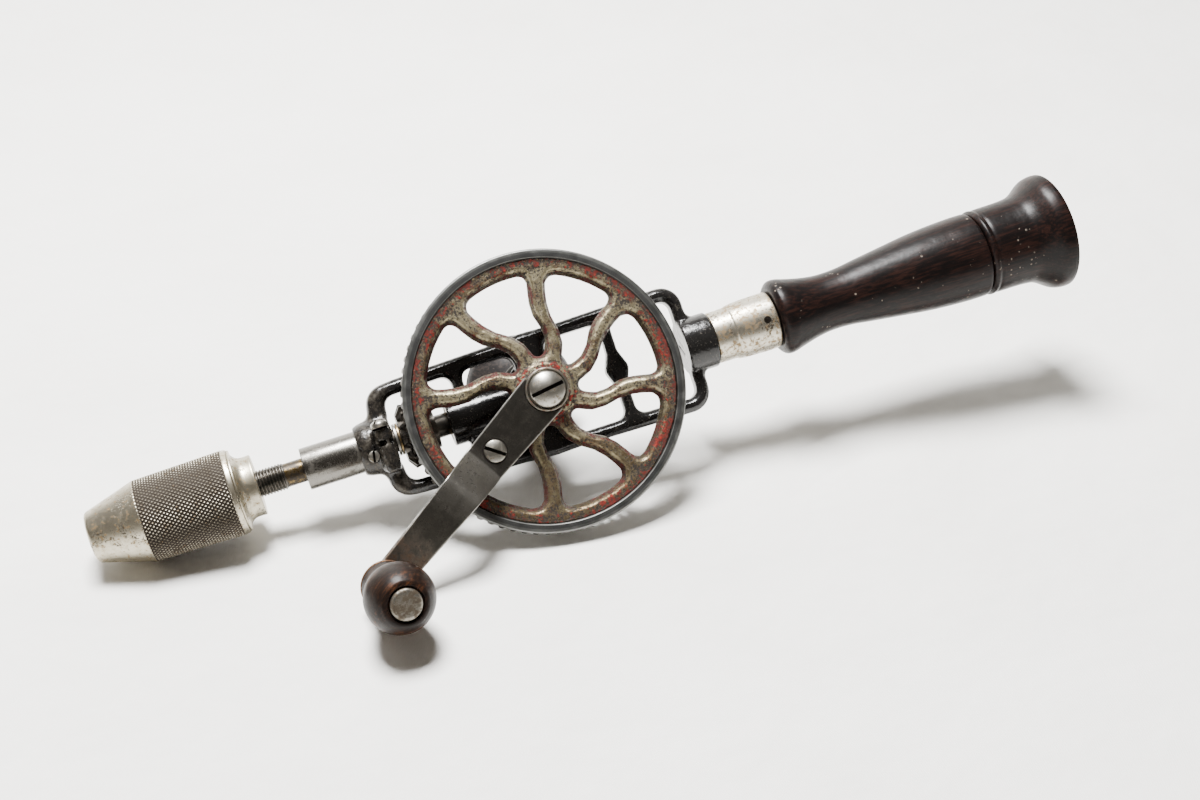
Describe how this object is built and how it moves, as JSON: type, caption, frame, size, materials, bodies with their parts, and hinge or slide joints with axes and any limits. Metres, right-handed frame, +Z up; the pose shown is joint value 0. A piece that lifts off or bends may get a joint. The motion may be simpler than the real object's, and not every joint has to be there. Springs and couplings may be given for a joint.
{
  "type": "hand drill",
  "caption": "Hand cranked drill: bevel wheel with curved spokes on a black frame, pinion on the spindle, keyless chuck, turned dark wood handle, side knob and crank knob.",
  "frame": {"origin": "middle of the bounding box's bottom, on the bench that the drill lies on", "axes": "+X along the bench from chuck to handle, +Z up, -Y towards the side where the wheel and crank face; the drill lies on the chuck, the toothed rim and the side knob"},
  "size_m": [0.4228, 0.1484, 0.096],
  "materials": {
    "black_enamel": "glossy black enamel over cast iron, worn brown at the front boss",
    "worn_nickel": "satin nickel plate with yellow-brown spots",
    "dark_steel": "dark grey steel with fine scratches",
    "bright_steel": "polished steel, scratched",
    "worn_wheel": "silver-olive cast iron with dark specks and remnants of red paint, machined grey rim",
    "black_steel": "oiled black steel",
    "bronze": "dull bronze",
    "rosewood": "very dark glossy rosewood with reddish streaks",
    "brown_wood": "dark brown turned wood, worn glossy",
    "rusted_steel": "rust-brown steel washer"
  },
  "bodies": {
    "frame": {"frame_casting": "black_enamel", "bearing_sleeve": "bright_steel", "rear_bush": "bronze", "clamp_screw": "bright_steel", "lock_screw": "dark_steel", "wheel_axle": "dark_steel", "hub_screw": "bright_steel", "side_knob_collar": "dark_steel", "side_knob": "rosewood", "side_knob_bolt": "dark_steel", "tang": "dark_steel", "ferrule": "worn_nickel", "ferrule_pin": "dark_steel", "handle_grip": "rosewood"},
    "wheel": {"gear_wheel": "worn_wheel", "crank_arm": "dark_steel", "crank_screw": "bright_steel", "crank_pin": "bright_steel", "knob_washer": "rusted_steel"},
    "knob": {"crank_knob": "brown_wood"},
    "spindle_body": {"spindle": "black_steel", "drive_pinion": "black_steel", "pinion_pin": "bright_steel", "thrust_washer_steel": "bright_steel", "thrust_washer_brass": "bronze", "chuck_body": "worn_nickel"},
    "sleeve": {"chuck_sleeve": "worn_nickel"},
    "jaw_a": {"jaw_1": "dark_steel"},
    "jaw_b": {"jaw_2": "dark_steel"},
    "jaw_c": {"jaw_3": "dark_steel"},
    "cap": {"handle_cap": "rosewood"}
  },
  "joints": [
    {"name": "crank_turn", "type": "hinge", "parent": "frame", "child": "wheel", "pos_m": [-0.02674, 0.00804, 0.05116], "axis": [-0.0835, -0.7832, 0.6161], "continuous": true},
    {"name": "spindle_spin", "type": "hinge", "parent": "frame", "child": "spindle_body", "pos_m": [-0.08193, 0.02369, 0.03114], "axis": [0.9909, 0, 0.1343], "continuous": true},
    {"name": "knob_spin", "type": "hinge", "parent": "wheel", "child": "knob", "pos_m": [-0.10587, -0.03678, 0.00861], "axis": [0.0676, -0.8875, 0.4558], "continuous": true},
    {"name": "sleeve_turn", "type": "hinge", "parent": "spindle_body", "child": "sleeve", "pos_m": [-0.18886, 0.02369, 0.01665], "axis": [0.9909, 0, 0.1343], "range_deg": [0, 900]},
    {"name": "cap_turn", "type": "hinge", "parent": "frame", "child": "cap", "pos_m": [0.17103, 0.02369, 0.06543], "axis": [0.9909, 0, 0.1343], "range_deg": [0, 1080]},
    {"name": "jaw_slide_1", "type": "slide", "parent": "spindle_body", "child": "jaw_a", "axis": [0.1329, -0.1469, -0.9802], "range_m": [0, 0.0032]},
    {"name": "jaw_slide_2", "type": "slide", "parent": "spindle_body", "child": "jaw_b", "axis": [-0.0494, 0.9301, 0.3641], "range_m": [0, 0.0032]},
    {"name": "jaw_slide_3", "type": "slide", "parent": "spindle_body", "child": "jaw_c", "axis": [-0.0835, -0.7832, 0.6161], "range_m": [0, 0.0032]}
  ],
  "couplings": [
    {"joint": "spindle_spin", "follows": "crank_turn", "ratio": 4.75},
    {"joint": "jaw_slide_1", "follows": "sleeve_turn", "m_per_rad": 0.00020372},
    {"joint": "jaw_slide_2", "follows": "sleeve_turn", "m_per_rad": 0.00020372},
    {"joint": "jaw_slide_3", "follows": "sleeve_turn", "m_per_rad": 0.00020372}
  ]
}
